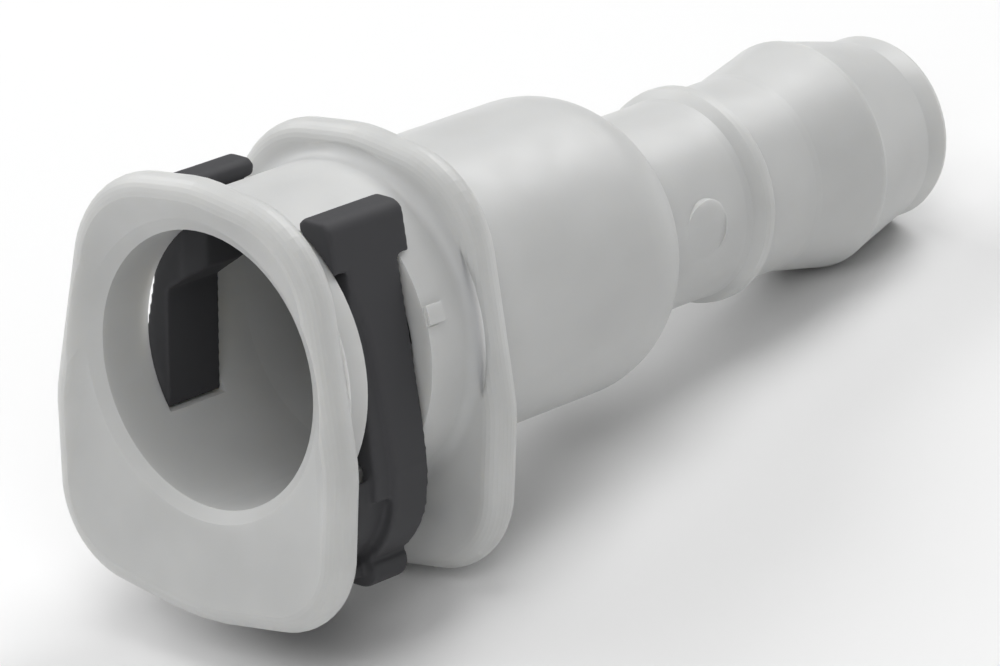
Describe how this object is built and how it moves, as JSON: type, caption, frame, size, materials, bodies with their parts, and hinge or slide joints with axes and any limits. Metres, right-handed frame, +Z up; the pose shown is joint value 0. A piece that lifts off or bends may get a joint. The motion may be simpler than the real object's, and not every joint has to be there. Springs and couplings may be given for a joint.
{
  "type": "quick connector with hose barb",
  "caption": "Plug-in connector for a washer fluid line: a flanged socket with a sliding spring clip and inner seals, and a barbed stem for a hose.",
  "frame": {"origin": "under the middle of the connector's box, at the surface it lies on", "axes": "+X from the socket's mouth towards the hose tip, level; +Z up; +Y completes the right-handed frame, across the flanges"},
  "size_m": [0.046, 0.0162, 0.0204],
  "materials": {
    "natural_plastic": "satin, slightly translucent natural plastic",
    "black_plastic": "satin black plastic with faint scuffs",
    "seal_rubber": "matte black rubber",
    "bush_plastic": "satin natural plastic"
  },
  "bodies": {
    "housing": {"connector_body": "natural_plastic", "seal_retainer": "bush_plastic", "o_ring_front": "seal_rubber", "spacer_ring": "bush_plastic", "o_ring_rear": "seal_rubber"},
    "clip": {"locking_clip": "black_plastic"}
  },
  "joints": [
    {"name": "clip_press", "type": "slide", "parent": "housing", "child": "clip", "axis": [0.1909, 0, 0.9816], "range_m": [0, 0.001], "stiffness_N_per_m": 300, "springref_m": -0.0005}
  ]
}
